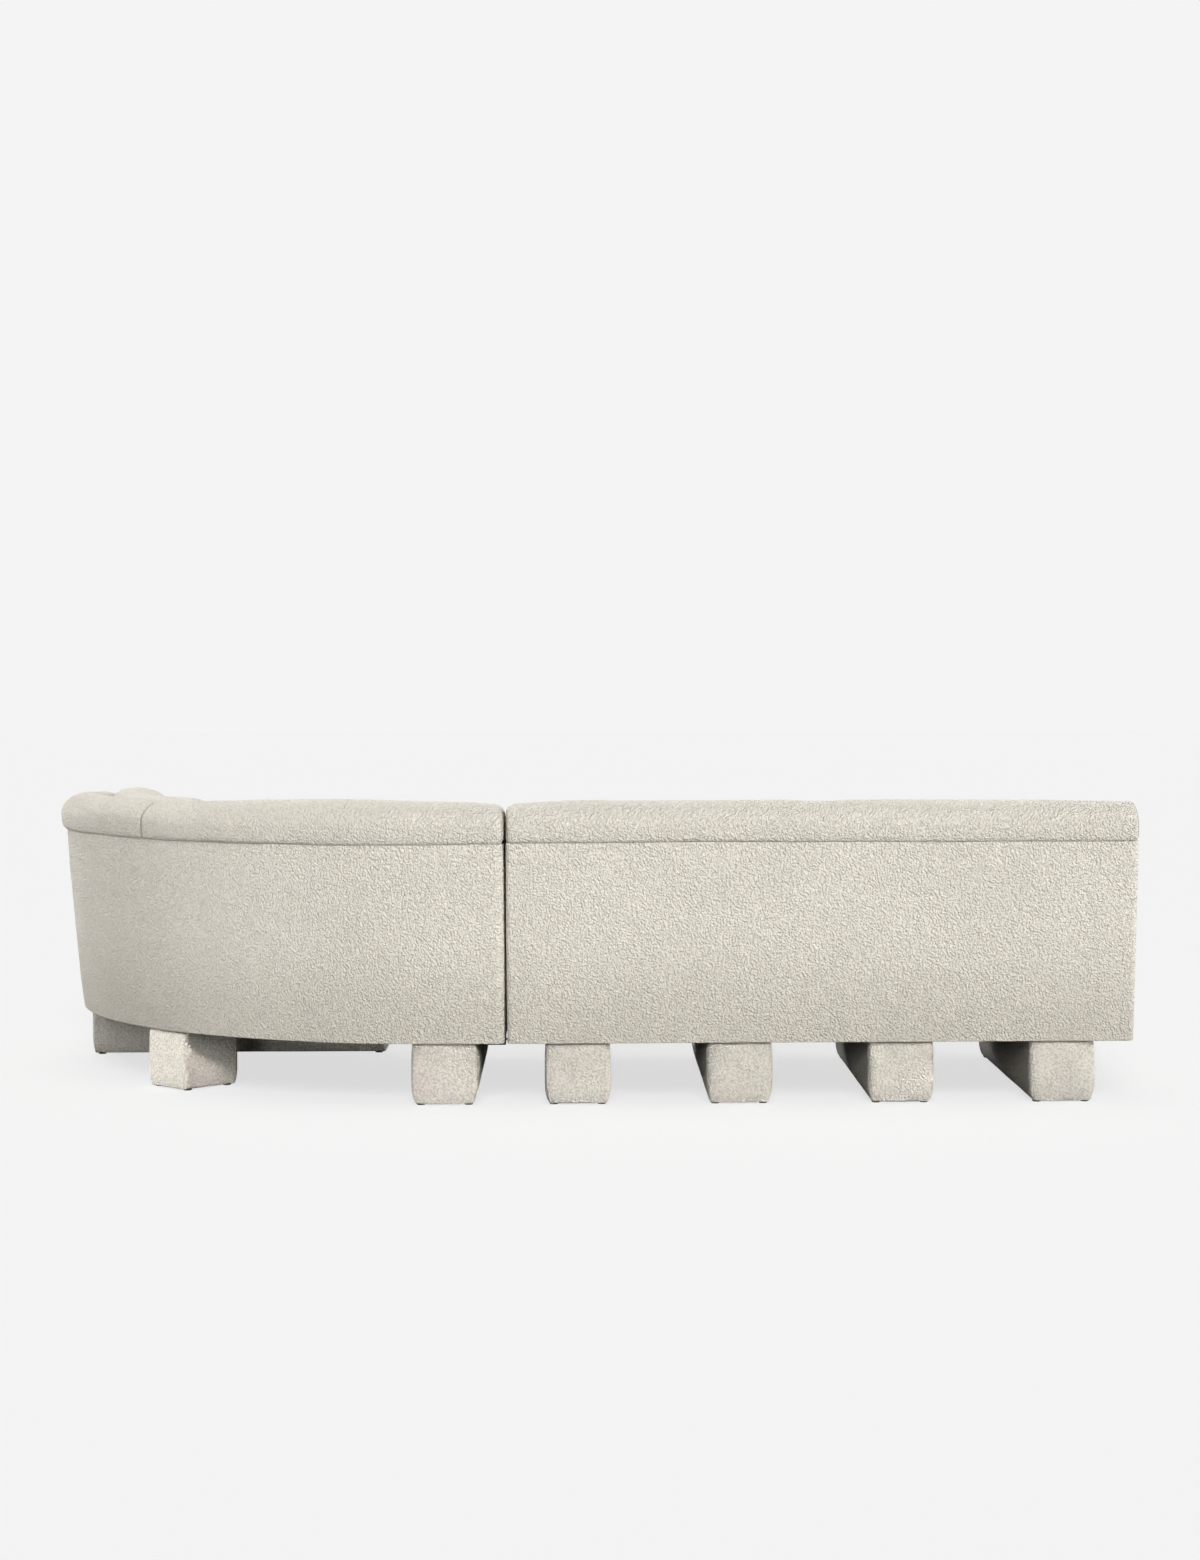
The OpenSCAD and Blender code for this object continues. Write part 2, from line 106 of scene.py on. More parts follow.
def vnoise(p, scale, seed=1):
    """Smooth value noise from -1 to 1; scale is the size of a lump."""
    q = p / scale
    i = np.floor(q).astype(np.int64)
    f = q - i
    f = f * f * (3 - 2 * f)
    out = 0
    for dx in (0, 1):
        wx = f[:, 0] if dx else 1 - f[:, 0]
        for dy in (0, 1):
            wy = f[:, 1] if dy else 1 - f[:, 1]
            for dz in (0, 1):
                wz = f[:, 2] if dz else 1 - f[:, 2]
                out = out + wx * wy * wz * _hash(i[:, 0] + dx, i[:, 1] + dy, i[:, 2] + dz, seed)
    return out * 2 - 1


def curls(p, cell, seed=3):
    """Domes of about one cell across, 0 in the creases and 1 on top, like loops of yarn."""
    q = p / cell
    i = np.floor(q).astype(np.int64)
    best = np.full(len(p), 9.0)
    for dx in (-1, 0, 1):
        for dy in (-1, 0, 1):
            for dz in (-1, 0, 1):
                c = [i[:, 0] + dx, i[:, 1] + dy, i[:, 2] + dz]
                o = np.stack([c[k] + _hash(c[0], c[1], c[2], seed + k) for k in range(3)], -1)
                best = np.minimum(best, ((q - o) ** 2).sum(1))
    return np.clip(1.15 - np.sqrt(best), 0, 1)


# ---------------------------------------------------------------- mesh helpers
def make(name, verts, faces, smooth=True):
    me = bpy.data.meshes.new(name)
    me.from_pydata(verts.tolist(), [], faces)
    me.update()
    ob = bpy.data.objects.new(name, me)
    scene.collection.objects.link(ob)
    bm = bmesh.new()
    bm.from_mesh(me)
    bmesh.ops.recalc_face_normals(bm, faces=bm.faces)
    bm.to_mesh(me)
    bm.free()
    if smooth:
        me.polygons.foreach_set("use_smooth", np.ones(len(me.polygons), bool))
    return ob


def coords(me):
    a = np.empty(len(me.vertices) * 3)
    me.vertices.foreach_get("co", a)
    return a.reshape(-1, 3)


def normals(me):
    a = np.empty(len(me.vertices) * 3)
    me.vertices.foreach_get("normal", a)
    return a.reshape(-1, 3)


def mark(ob, name, w):
    """A number from 0 to 1 at each vertex: "sewn" where cloth is drawn in along a sewn
    line, painted there as crease shade; "low" towards the lower edge of an outer panel, painted there as shade
    darker towards the bottom."""
    a = ob.data.attributes.new(name, "FLOAT", "POINT")
    a.data.foreach_set("value", np.ascontiguousarray(w, dtype=np.float32))


def put(me, p):
    me.vertices.foreach_set("co", p.reshape(-1))
    me.update()


def nap(ob, curl=0.9, wave=0.8, seed=0):
    """Loops of yarn and a slow unevenness, moved out along the normals. In millimetres."""
    me = ob.data
    p = coords(me)
    n = normals(me)
    mm = p * 1000
    h = 0.25 * curl * (curls(mm, 9.5, 5 + seed) - 0.45)
    h += wave * (vnoise(mm, 170.0, 21 + seed) * 0.8 + vnoise(mm, 60.0, 31 + seed) * 0.35)
    put(me, p + n * (h / 1000)[:, None])


def resample(pts, step, closed=False):
    pts = np.asarray(pts, float)
    if closed:
        pts = np.vstack([pts, pts[:1]])
    seg = np.hypot(*np.diff(pts, axis=0).T)
    t = np.concatenate([[0], np.cumsum(seg)])
    n = max(int(round(t[-1] / step)), 1)
    u = np.linspace(0, t[-1], n + 1)
    r = np.stack([np.interp(u, t, pts[:, k]) for k in range(2)], -1)
    return r[:-1] if closed else r


def chain(*runs):
    """Joins [points, step] runs into one closed loop without repeating shared ends."""
    out = []
    for pts, step in runs:
        r = resample(pts, step)
        out.append(r[:-1])
    return np.vstack(out)


def arc(c, r, a0, a1, n=8, ry=None):
    t = np.radians(np.linspace(a0, a1, n + 1))
    return np.stack([c[0] + r * np.cos(t), c[1] + (r if ry is None else ry) * np.sin(t)], -1)


def smooth_loop(p, k):
    for _ in range(k):
        p = 0.5 * p + 0.25 * (np.roll(p, 1, 0) + np.roll(p, -1, 0))
    return p


def loop_normals(p):
    t = np.roll(p, -1, 0) - np.roll(p, 1, 0)
    n = np.stack([t[:, 1], -t[:, 0]], -1)
    n /= np.maximum(np.hypot(n[:, 0], n[:, 1]), 1e-9)[:, None]
    area = 0.5 * (p[:, 0] * np.roll(p[:, 1], -1) - np.roll(p[:, 0], -1) * p[:, 1]).sum()
    return n if area > 0 else -n


def ring_faces(n, m):
    f = []
    for i in range(n - 1):
        a, b = i * m, (i + 1) * m
        f += [(a + j, a + (j + 1) % m, b + (j + 1) % m, b + j) for j in range(m)]
    return f


def sweep(name, prof, length, mapf, r_end=(20, 20), step=4.5, warp=None, cap_step=5.0, cap_puff=(0, 0), seam=(None, None), s0=0.0, pinch_at=()):
    """A closed soft body: the loop prof in (d, z) along s0..s0+length, its ends rounded by
    r_end and closed with rings, so that an end is a sewn-in panel. warp(s, d, z, n) moves
    points in (s, d, z); n is the loop's outward normal in (d, z)."""
    nrm = loop_normals(prof)
    mid = np.array([(prof[:, 0].min() + prof[:, 0].max()) / 2, (prof[:, 1].min() + prof[:, 1].max()) / 2])
    rings = []                      # (s, inset, scale to the middle)
    half = min(np.ptp(prof[:, 0]), np.ptp(prof[:, 1])) / 2

    def cap(r, puff, sm):
        out = []
        k = max(int((half - r) / cap_step), 3)
        for i in range(1, k + 1):                   # from the middle outwards
            rho = i / (k + 1)
            out.append((-puff * (1 - rho ** 2), r, rho))
        kr = max(int(r * 1.6 / 4), 4)
        for i in range(kr + 1):
            f = math.pi / 2 * i / kr
            g = 0.0
            if sm:
                g = 1.6 * math.exp(-((f - 0.5) / 0.16) ** 2)
            out.append((r * (1 - math.cos(f)) + g * 0.6, r * (1 - math.sin(f)) + g, 1.0))
        return out
    a = cap(r_end[0], cap_puff[0], seam[0])
    b = cap(r_end[1], cap_puff[1], seam[1])
    n = max(int((length - r_end[0] - r_end[1]) / step), 2)
    for s, i, q in a:
        rings.append((s0 + s, i, q))
    body = list(np.linspace(r_end[0], length - r_end[1], n + 1)[1:-1])
    for c in pinch_at:
        body = [v for v in body if abs(v + s0 - c) > 7.5] + [c - s0 + q for q in (-6, -4, -2.4, -1.2, 0, 1.2, 2.4, 4, 6)]
    for s in sorted(body):
        rings.append((s0 + s, 0.0, 1.0))
    for s, i, q in reversed(b):
        rings.append((s0 + length - s, i, q))
    m = len(prof)
    S = np.repeat([r[0] for r in rings], m).reshape(-1, m)
    P = np.stack([mid + r[2] * (prof - nrm * r[1] - mid) for r in rings])
    D, Z = P[..., 0], P[..., 1]
    if warp:
        S, D, Z = warp(S, D, Z, nrm[None])
    V = mapf(S.ravel(), D.ravel(), Z.ravel())
    f = ring_faces(len(rings), m)
    c0 = V[:m].mean(0)
    c1 = V[-m:].mean(0)
    V = np.vstack([V, c0, c1])
    k = len(rings) * m
    f += [(k, (j + 1) % m, j) for j in range(m)]
    e = (len(rings) - 1) * m
    f += [(k + 1, e + j, e + (j + 1) % m) for j in range(m)]
    ob = make(name, OUT(V), f)
    # painted crease shade: a weight along the end seams and pinches, saved as "sewn" and darkened in the bouclé
    # material
    painted_crease_shade = np.zeros(len(V))
    srow = np.array([r[0] for r in rings])
    for end, ri in ((0, r_end[0]), (1, r_end[1])):
        if seam[end]:
            t = srow - s0 if end == 0 else s0 + length - srow
            at = ri * (1 - math.cos(0.5))
            full = np.array([1.0 if r[2] == 1.0 else 0.0 for r in rings])
            painted_crease_shade[:k] = np.maximum(painted_crease_shade[:k], np.repeat(np.exp(-((t - at) / 1.5) ** 2) * full, m))
    for c in pinch_at:
        painted_crease_shade[:k] = np.maximum(painted_crease_shade[:k], np.repeat(np.exp(-((srow - c) / 2.6) ** 2), m))
    mark(ob, "sewn", painted_crease_shade)
    return ob


def end_drop(s, length, near, far):
    """The crown of a soft run: how far its top falls towards its two ends."""
    return near[0] * np.exp(-s / near[1]) + far[0] * np.exp(-(length - s) / far[1])


# ---------------------------------------------------------------- materials
def mat(name):
    m = bpy.data.materials.new(name)
    m.use_nodes = True
    t = m.node_tree
    return m, t, t.nodes["Principled BSDF"]


def node(t, kind, **kw):
    n = t.nodes.new(kind)
    for k, v in kw.items():
        setattr(n, k, v)
    return n


def math_node(t, op, a, b=None, clamp=False):
    n = node(t, "ShaderNodeMath", operation=op, use_clamp=clamp)
    for i, v in enumerate((a, b)):
        if v is None:
            continue
        if isinstance(v, (int, float)):
            n.inputs[i].default_value = v
        else:
            t.links.new(v, n.inputs[i])
    return n.outputs[0]


def ramp(t, fac, stops):
    n = node(t, "ShaderNodeValToRGB")
    t.links.new(fac, n.inputs[0])
    e = n.color_ramp.elements
    while len(e) < len(stops):
        e.new(0.5)
    for i, (pos, col) in enumerate(stops):
        e[i].position = pos
        e[i].color = (*col, 1) if len(col) == 3 else col
    return n.outputs[0]


def noise_node(t, vec, scale, detail=2.0, rough=0.5, dist=0.0):
    n = node(t, "ShaderNodeTexNoise")
    n.inputs["Scale"].default_value = scale
    n.inputs["Detail"].default_value = detail
    n.inputs["Roughness"].default_value = rough
    n.inputs["Distortion"].default_value = dist
    t.links.new(vec, n.inputs["Vector"])
    return n


CURL = 142.0


def boucle(name, painted_loop_shading=1.0, relief=1.0, shade=1.0):
    """deep sets the painted shade in the hollows between the loops and the painted highlight on their tops, relief
    how far the loops stand up, shade darkens the whole colour as painted shade for the darker copies.
    """
    m, t, b = mat(name)
    tc = node(t, "ShaderNodeTexCoord")
    o = tc.outputs["Object"]
    w = noise_node(t, o, 110.0, 0.0)
    wv = node(t, "ShaderNodeVectorMath", operation="MULTIPLY_ADD")
    t.links.new(w.outputs["Color"], wv.inputs[0])
    wv.inputs[1].default_value = (0.004, 0.004, 0.004)
    t.links.new(o, wv.inputs[2])
    q = wv.outputs[0]
    # looped yarn lies in short slanting curls, now one way and now the other
    curls = []
    for flip in (1.0, -1.0):
        cc = node(t, "ShaderNodeCombineXYZ")
        for k, (fx, fy, fz) in enumerate(((CURL, -CURL, flip * CURL),
                                          (0.70 * CURL, -0.70 * CURL, -flip * 0.70 * CURL),
                                          (0.6 * CURL, 0.6 * CURL, 0.0))):
            dp = node(t, "ShaderNodeVectorMath", operation="DOT_PRODUCT")
            t.links.new(q, dp.inputs[0])
            dp.inputs[1].default_value = (fx, fy, fz)
            t.links.new(dp.outputs["Value"], cc.inputs[k])
        cn = node(t, "ShaderNodeTexVoronoi", feature="F1")
        cn.inputs["Scale"].default_value = 1.0
        cn.inputs["Randomness"].default_value = 0.85
        t.links.new(cc.outputs[0], cn.inputs["Vector"])
        curls.append(cn.outputs["Distance"])
    side = noise_node(t, o, 70.0, 0.0)
    sel = math_node(t, "MULTIPLY_ADD", side.outputs["Fac"], 6.0, clamp=True)
    sel.node.inputs[2].default_value = -2.5
    cm = node(t, "ShaderNodeMix", data_type="FLOAT")
    t.links.new(sel, cm.inputs[0])
    t.links.new(curls[0], cm.inputs[2])
    t.links.new(curls[1], cm.inputs[3])
    h = math_node(t, "MULTIPLY_ADD", cm.outputs[0], -1.25, clamp=True)
    h.node.inputs[2].default_value = 1.05
    fz = noise_node(t, o, 420.0, 1.0, 0.7)
    h2 = math_node(t, "ADD", h, math_node(t, "MULTIPLY", fz.outputs["Fac"], 0.15))
    bump = node(t, "ShaderNodeBump")
    bump.inputs["Strength"].default_value = 1.0
    bump.inputs["Distance"].default_value = 0.0056 * relief
    t.links.new(h2, bump.inputs["Height"])
    t.links.new(bump.outputs[0], b.inputs["Normal"])
    # colour: painted shade, darker and a little warmer, in the hollows between the loops, painted highlight on the
    # loop tops, slow drift of tone
    mid_c = tuple(shade * c for c in (0.875, 0.828, 0.738))
    hollow_shade_c = tuple(c - 0.16 * painted_loop_shading for c in mid_c)
    top_highlight_c = tuple(c + 0.03 * min(painted_loop_shading, 1.2) for c in mid_c)
    col = ramp(t, h, [(0.18, hollow_shade_c), (0.55, mid_c), (0.9, top_highlight_c)])
    big = noise_node(t, o, 5.0, 3.0, 0.55)
    tone = ramp(t, big.outputs["Fac"], [(0.3, (0.955, 0.955, 0.95)), (0.7, (1.0, 1.0, 1.0))])
    mix = node(t, "ShaderNodeMix", data_type="RGBA", blend_type="MULTIPLY")
    mix.inputs[0].default_value = 1.0
    t.links.new(col, mix.inputs[6])
    t.links.new(tone, mix.inputs[7])
    # painted crease shade: along the "sewn" lines the colour is multiplied down to about half
    at = node(t, "ShaderNodeAttribute", attribute_name="sewn")
    crease_shade_mix = node(t, "ShaderNodeMix", data_type="RGBA", blend_type="MULTIPLY")
    crease_shade_mix.inputs[0].default_value = 1.0
    t.links.new(mix.outputs[2], crease_shade_mix.inputs[6])
    t.links.new(ramp(t, at.outputs["Fac"], [(0.0, (1, 1, 1)), (1.0, (0.50, 0.47, 0.42))]), crease_shade_mix.inputs[7])
    # painted shade: where "low" is 1 the colour is multiplied down to about 0.81, darker towards the bottom of the
    # outer back panels
    lo = node(t, "ShaderNodeAttribute", attribute_name="low")
    low_shade_mix = node(t, "ShaderNodeMix", data_type="RGBA", blend_type="MULTIPLY")
    low_shade_mix.inputs[0].default_value = 1.0
    t.links.new(crease_shade_mix.outputs[2], low_shade_mix.inputs[6])
    t.links.new(ramp(t, lo.outputs["Fac"], [(0.0, (1, 1, 1)), (1.0, (0.81, 0.805, 0.79))]), low_shade_mix.inputs[7])
    t.links.new(low_shade_mix.outputs[2], b.inputs["Base Color"])
    b.inputs["Roughness"].default_value = 1.0
    b.inputs["Specular IOR Level"].default_value = 0.15
    b.inputs["Sheen Weight"].default_value = 0.12
    b.inputs["Sheen Roughness"].default_value = 0.6
    return m


def woven(name, a, bcol, scale, rough=0.9, bump_d=0.0004):
    m, t, b = mat(name)
    tc = node(t, "ShaderNodeTexCoord")
    o = tc.outputs["Object"]
    w1 = node(t, "ShaderNodeTexWave", wave_type="BANDS", bands_direction="X")
    w2 = node(t, "ShaderNodeTexWave", wave_type="BANDS", bands_direction="Y")
    for w in (w1, w2):
        w.inputs["Scale"].default_value = scale
        w.inputs["Distortion"].default_value = 0.6
        w.inputs["Detail"].default_value = 1.0
        t.links.new(o, w.inputs["Vector"])
    h = math_node(t, "MULTIPLY", w1.outputs["Fac"], w2.outputs["Fac"])
    n = noise_node(t, o, 14.0, 4.0, 0.6)
    f = math_node(t, "ADD", math_node(t, "MULTIPLY", h, 0.6), math_node(t, "MULTIPLY", n.outputs["Fac"], 0.5))
    t.links.new(ramp(t, f, [(0.15, a), (0.85, bcol)]), b.inputs["Base Color"])
    bump = node(t, "ShaderNodeBump")
    bump.inputs["Strength"].default_value = 0.5
    bump.inputs["Distance"].default_value = bump_d
    t.links.new(h, bump.inputs["Height"])
    t.links.new(bump.outputs[0], b.inputs["Normal"])
    b.inputs["Roughness"].default_value = rough
    b.inputs["Specular IOR Level"].default_value = 0.2
    return m


def timber(name, dark, light, axis):
    m, t, b = mat(name)
    tc = node(t, "ShaderNodeTexCoord")
    mp = node(t, "ShaderNodeMapping")
    mp.inputs["Scale"].default_value = tuple(1.2 if k == axis else 16.0 for k in range(3))
    t.links.new(tc.outputs["Object"], mp.inputs["Vector"])
    n = noise_node(t, mp.outputs[0], 3.2, 6.0, 0.6, 0.8)
    fine = noise_node(t, mp.outputs[0], 24.0, 3.0, 0.7)
    f = math_node(t, "ADD", math_node(t, "MULTIPLY", n.outputs["Fac"], 0.75), math_node(t, "MULTIPLY", fine.outputs["Fac"], 0.3))
    t.links.new(ramp(t, f, [(0.35, dark), (0.55, tuple((x + y) / 2 for x, y in zip(dark, light))), (0.75, light)]), b.inputs["Base Color"])
    bump = node(t, "ShaderNodeBump")
    bump.inputs["Strength"].default_value = 0.35
    bump.inputs["Distance"].default_value = 0.0006
    t.links.new(fine.outputs["Fac"], bump.inputs["Height"])
    t.links.new(bump.outputs[0], b.inputs["Normal"])
    t.links.new(ramp(t, fine.outputs["Fac"], [(0.3, (0.62,) * 3), (0.7, (0.45,) * 3)]), b.inputs["Roughness"])
    return m


def metal(name, col, rough, scale=180.0, metallic=1.0):
    m, t, b = mat(name)
    tc = node(t, "ShaderNodeTexCoord")
    n = noise_node(t, tc.outputs["Object"], scale, 4.0, 0.7)
    lo = tuple(c * 0.78 for c in col)
    t.links.new(ramp(t, n.outputs["Fac"], [(0.3, lo), (0.7, col)]), b.inputs["Base Color"])
    t.links.new(ramp(t, n.outputs["Fac"], [(0.3, (rough + 0.12,) * 3), (0.7, (rough,) * 3)]), b.inputs["Roughness"])
    b.inputs["Metallic"].default_value = metallic
    bump = node(t, "ShaderNodeBump")
    bump.inputs["Strength"].default_value = 0.15
    bump.inputs["Distance"].default_value = 0.0003
    t.links.new(n.outputs["Fac"], bump.inputs["Height"])
    t.links.new(bump.outputs[0], b.inputs["Normal"])
    return m


def cellular(name, a, bcol, scale=260.0):
    m, t, b = mat(name)
    tc = node(t, "ShaderNodeTexCoord")
    v = node(t, "ShaderNodeTexVoronoi")
    v.inputs["Scale"].default_value = scale
    t.links.new(tc.outputs["Object"], v.inputs["Vector"])
    n = noise_node(t, tc.outputs["Object"], 9.0, 3.0)
    f = math_node(t, "ADD", math_node(t, "MULTIPLY", v.outputs["Distance"], 0.7), math_node(t, "MULTIPLY", n.outputs["Fac"], 0.4))
    t.links.new(ramp(t, f, [(0.1, a), (0.8, bcol)]), b.inputs["Base Color"])
    bump = node(t, "ShaderNodeBump")
    bump.inputs["Strength"].default_value = 0.4
    bump.inputs["Distance"].default_value = 0.0008
    t.links.new(v.outputs["Distance"], bump.inputs["Height"])
    t.links.new(bump.outputs[0], b.inputs["Normal"])
    b.inputs["Roughness"].default_value = 0.95
    return m


# one bouclé cloth in three copies, its whole colour scaled by 0.98, 0.94 and 0.93 and its loop shading set apart:
# painted shade that evens out how bright the panels, the rolls and cushions, and the legs come out under the lamps
M_BOUCLE = boucle("boucle_cream", 0.9, 0.95, 0.98)
M_ROLL_SHADED = boucle("boucle_cream_roll_painted_shade", 0.9, 0.95, 0.94)
M_LEGS_SHADED = boucle("boucle_cream_legs_painted_shade", 1.1, 0.72, 0.93)
M_DECK = woven("deck_cloth_weave", (0.42, 0.39, 0.34), (0.62, 0.59, 0.53), 160.0)
M_DUST = woven("dust_cloth_black", (0.008, 0.008, 0.009), (0.035, 0.035, 0.037), 220.0, 0.95)
M_WEB = woven("webbing_jute", (0.16, 0.11, 0.06), (0.42, 0.33, 0.22), 90.0, 0.9, 0.0008)
M_FOAM = cellular("foam_cells", (0.60, 0.53, 0.34), (0.82, 0.76, 0.56))
M_WOOD_X = timber("hardwood_long", (0.22, 0.12, 0.055), (0.50, 0.33, 0.18), 0)
M_WOOD_Y = timber("hardwood_cross", (0.24, 0.13, 0.06), (0.52, 0.35, 0.20), 1)
M_WOOD_Z = timber("hardwood_upright", (0.23, 0.125, 0.058), (0.50, 0.34, 0.19), 2)
M_LEGT = timber("leg_timber_grain", (0.30, 0.19, 0.10), (0.60, 0.45, 0.28), 1)
M_SPRING = metal("spring_steel_dark", (0.30, 0.31, 0.33), 0.35)
M_CLIP = metal("clip_steel", (0.55, 0.56, 0.58), 0.35)
M_ZINC = metal("zinc_plate", (0.66, 0.66, 0.62), 0.30, 90.0)
M_LINK = metal("link_steel_brushed", (0.56, 0.56, 0.56), 0.32, 140.0)
M_LBLK = metal("link_black_moulded", (0.022, 0.022, 0.024), 0.5, 300.0, 0.0)
M_GLIDE = metal("glide_dark_brown", (0.020, 0.008, 0.006), 0.50, 500.0, 0.0)

BY_END = [("glides", M_GLIDE), ("link_tongues", M_LINK), ("link_sockets", M_LBLK), ("leg_bolts", M_ZINC),
          ("tee_nuts", M_ZINC), ("spring_clips", M_CLIP), ("seat_springs", M_SPRING), ("back_webbing", M_WEB),
          ("seat_deck", M_DECK), ("dust_cover", M_DUST), ("leg_cores", M_LEGT), ("back_posts", M_WOOD_Z),
          ("end_rails", M_WOOD_Y), ("leg_bearers", M_WOOD_Y), ("rail", M_WOOD_X), ("corner_blocks", M_WOOD_X)]
for nm, ob in frame["nodes"].items():
    use = M_BOUCLE
    if "foam" in nm:
        use = M_FOAM
    else:
        for tail, mm in BY_END:
            if nm.endswith(tail):
                use = mm
                break
    for sl in ob.material_slots:
        sl.material = use


def piece(ob, body, *nodes_, pad=None):
    ob.data.materials.clear()
    soft = "roll" in ob.name or "cushion" in ob.name or "front" in ob.name
    # legs, and rolls, cushions and front panels, take their own copies darkened as painted shade
    ob.data.materials.append(M_LEGS_SHADED if ob.name.startswith("leg") else M_ROLL_SHADED if soft else M_BOUCLE)
    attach(ob, body)
    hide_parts(*nodes_)
    return ob


# ---------------------------------------------------------------- outer back panels
def plan_path(length, r0, r1, tail, step):
    """The panel's outer face in plan, (s, d), wrapping round both ends by tail."""
    runs = []
    t = []
    n0 = 10
    runs.append(np.array([[0, r0 + tail], [0, r0 + 0.01]]))
    a = np.radians(np.linspace(180, 270, n0 + 1))
    runs.append(np.stack([r0 + r0 * np.cos(a), r0 + r0 * np.sin(a)], -1))
    k = int((length - r0 - r1) / step)
    s = np.linspace(r0, length - r1, k + 1)[1:-1]
    runs.append(np.stack([s, 0 * s], -1))
    a = np.radians(np.linspace(270, 360, n0 + 1))
    runs.append(np.stack([length - r1 + r1 * np.cos(a), r1 + r1 * np.sin(a)], -1))
    runs.append(np.array([[length, r1 + 0.01], [length, r1 + tail]]))
    p = np.vstack(runs)
    keep = np.concatenate([[True], np.hypot(*np.diff(p, axis=0).T) > 0.2])
    p = p[keep]
    tn = np.gradient(p, axis=0)
    nn = np.stack([tn[:, 1], -tn[:, 0]], -1)
    nn /= np.hypot(nn[:, 0], nn[:, 1])[:, None]
    return p, nn          # nn points outwards, to -d on the long side


def back_panel(name, mapf, length, r0, r1, thick=13.0, bow=3.5, sag=None, flare=0.0):
    p, nn = plan_path(length, r0, r1, 5.0, 4.0)
    zt = SEAM + 0.9
    rt = 2.4
    # loop in (o, z): up the outer face, over the top hem, down the inner face, under the bottom hem
    z_out = np.arange(BZ + rt, zt - rt + 0.1, 4.0)
    outer = np.stack([0 * z_out, z_out], -1)
    top = arc((-rt, zt - rt), rt, 10, 170, 7)
    z_in = np.linspace(zt - rt - 4, BZ + rt + 4, 26)
    inner = np.stack([0 * z_in - thick, z_in], -1)
    bot = arc((-rt, BZ + rt), rt, 190, 350, 7)
    loop = np.vstack([outer, top, inner, bot])
    m = len(loop)
    o = loop[None, :, 0] + 0 * p[:, :1]
    z = loop[None, :, 1] + 0 * p[:, :1]
    h = np.clip((z - BZ) / (zt - BZ), 0, 1)
    sd = p[:, :1]
    e = np.clip(np.minimum(sd, length - sd) / 90.0, 0, 1)
    e = e * e * (3 - 2 * e)
    side = (loop[None, :, 0] > -rt).astype(float)
    o = o + side * bow * (1 - (2 * h - 1) ** 4) * (0.25 + 0.75 * e)
    S = p[:, :1] + nn[:, :1] * o
    D = p[:, 1:] + nn[:, 1:] * o + out_d(np.clip(z, BZ, SEAM))
    S = S + flare * h ** 1.5 * np.clip((p[:, :1] - length + 60) / 60, 0, 1) ** 2
    Z = z
    # painted shade: a weight over the lowest 300 mm of the outer back panel, saved as "low", darkens its colour
    # towards the bottom
    painted_low_shade = 1 - np.clip((z.ravel() - BZ) / 300.0, 0, 1)
    if sag is not None:
        S, D, Z = sag(S, D, Z)
    V = mapf(S.ravel(), D.ravel(), Z.ravel())
    f = ring_faces(len(p), m)
    f.append(tuple(range(m)))
    e0 = (len(p) - 1) * m
    f.append(tuple(reversed(range(e0, e0 + m))))
    ob = make(name, OUT(V), f)
    mark(ob, "low", painted_low_shade * painted_low_shade * (3 - 2 * painted_low_shade))
    return ob


def seam_follow(k):
    def sag(S, D, Z):
        return S, D, Z + seam_dip(k, S) * np.clip((Z - (SEAM - 60)) / 60, 0, 1) ** 2
    return sag


# ---------------------------------------------------------------- top rolls
def roll_loop():
    c, m = 15.0, TOP - 60.0
    outer_low = np.array([(-44.4, SEAM + 0.2), (-49.6, SEAM + 1.6), (-53.6, SEAM + 5.0), (-56.2, SEAM + 11.0), (-58.2, SEAM + 22.0), (-59.0, m)])
    outer_top = arc((c, m), c + BULGE, 180, 90, 24, 60.0)
    inner_top = arc((c, m), 81.4, 90, 42, 14, 60.0)
    lp = chain([outer_low, 2.6], [outer_top, 4.2], [inner_top, 4.5],
               [[inner_top[-1], (78, m + 34), (78, SEAM + 8), (72, SEAM + 2)], 6.0],
               [[(72, SEAM + 2), (-30, SEAM + 2)], 9.0],
               [[(-30, SEAM + 2), (-38, SEAM - 0.4), outer_low[0]], 3.0])
    return smooth_loop(lp, 1)


def roll_warp(length, near, far, pinch=None, seed=0):
    def warp(S, D, Z, n):
        up = np.clip((Z - (SEAM + 6)) / (TOP - SEAM - 6), 0, 1)
        dz = end_drop(np.clip(S, 0, length), length, near, far)
        Z = Z - dz * up ** 1.2
        D = D + n[..., 0] * 0
        q = np.stack([S.ravel(), 0 * S.ravel(), Z.ravel() * 0.5], -1)
        w = vnoise(q, 140.0, 41 + seed).reshape(S.shape)
        D = D + 2.0 * w * up * (1 - up) * 2
        # hem follows the same slow wobble as the panel below it
        low = np.clip(1 - (Z - SEAM) / 30, 0, 1)
        Z = Z + low * seam_dip(seed, S) + crown(seed, np.clip(S, 0, length)) * up
        if pinch is not None:
            t = (S - pinch)
            g = np.exp(-(t / 3.2) ** 2) * 3.4 + np.exp(-(t / 38.0) ** 2) * 2.2
            k = np.clip((Z - SEAM) / 10, 0, 1)
            D = D - n[..., 0] * g * k
            Z = Z - n[..., 1] * g * k
        return S, D, Z
    return warp


def seam_dip(k, s):
    """How far the sewn line under the roll strays from level, module 0 straight, 1 corner."""
    if k == 0:
        return 2.4 * np.exp(-((s - 480) / 420.0) ** 2) + 0.5 * np.sin(s / 61.0)
    return -3.4 * np.exp(-((s - 480) / 520.0) ** 2) + 0.8 * np.sin(s / 83.0) + 0.5 * np.sin(s / 37.0)


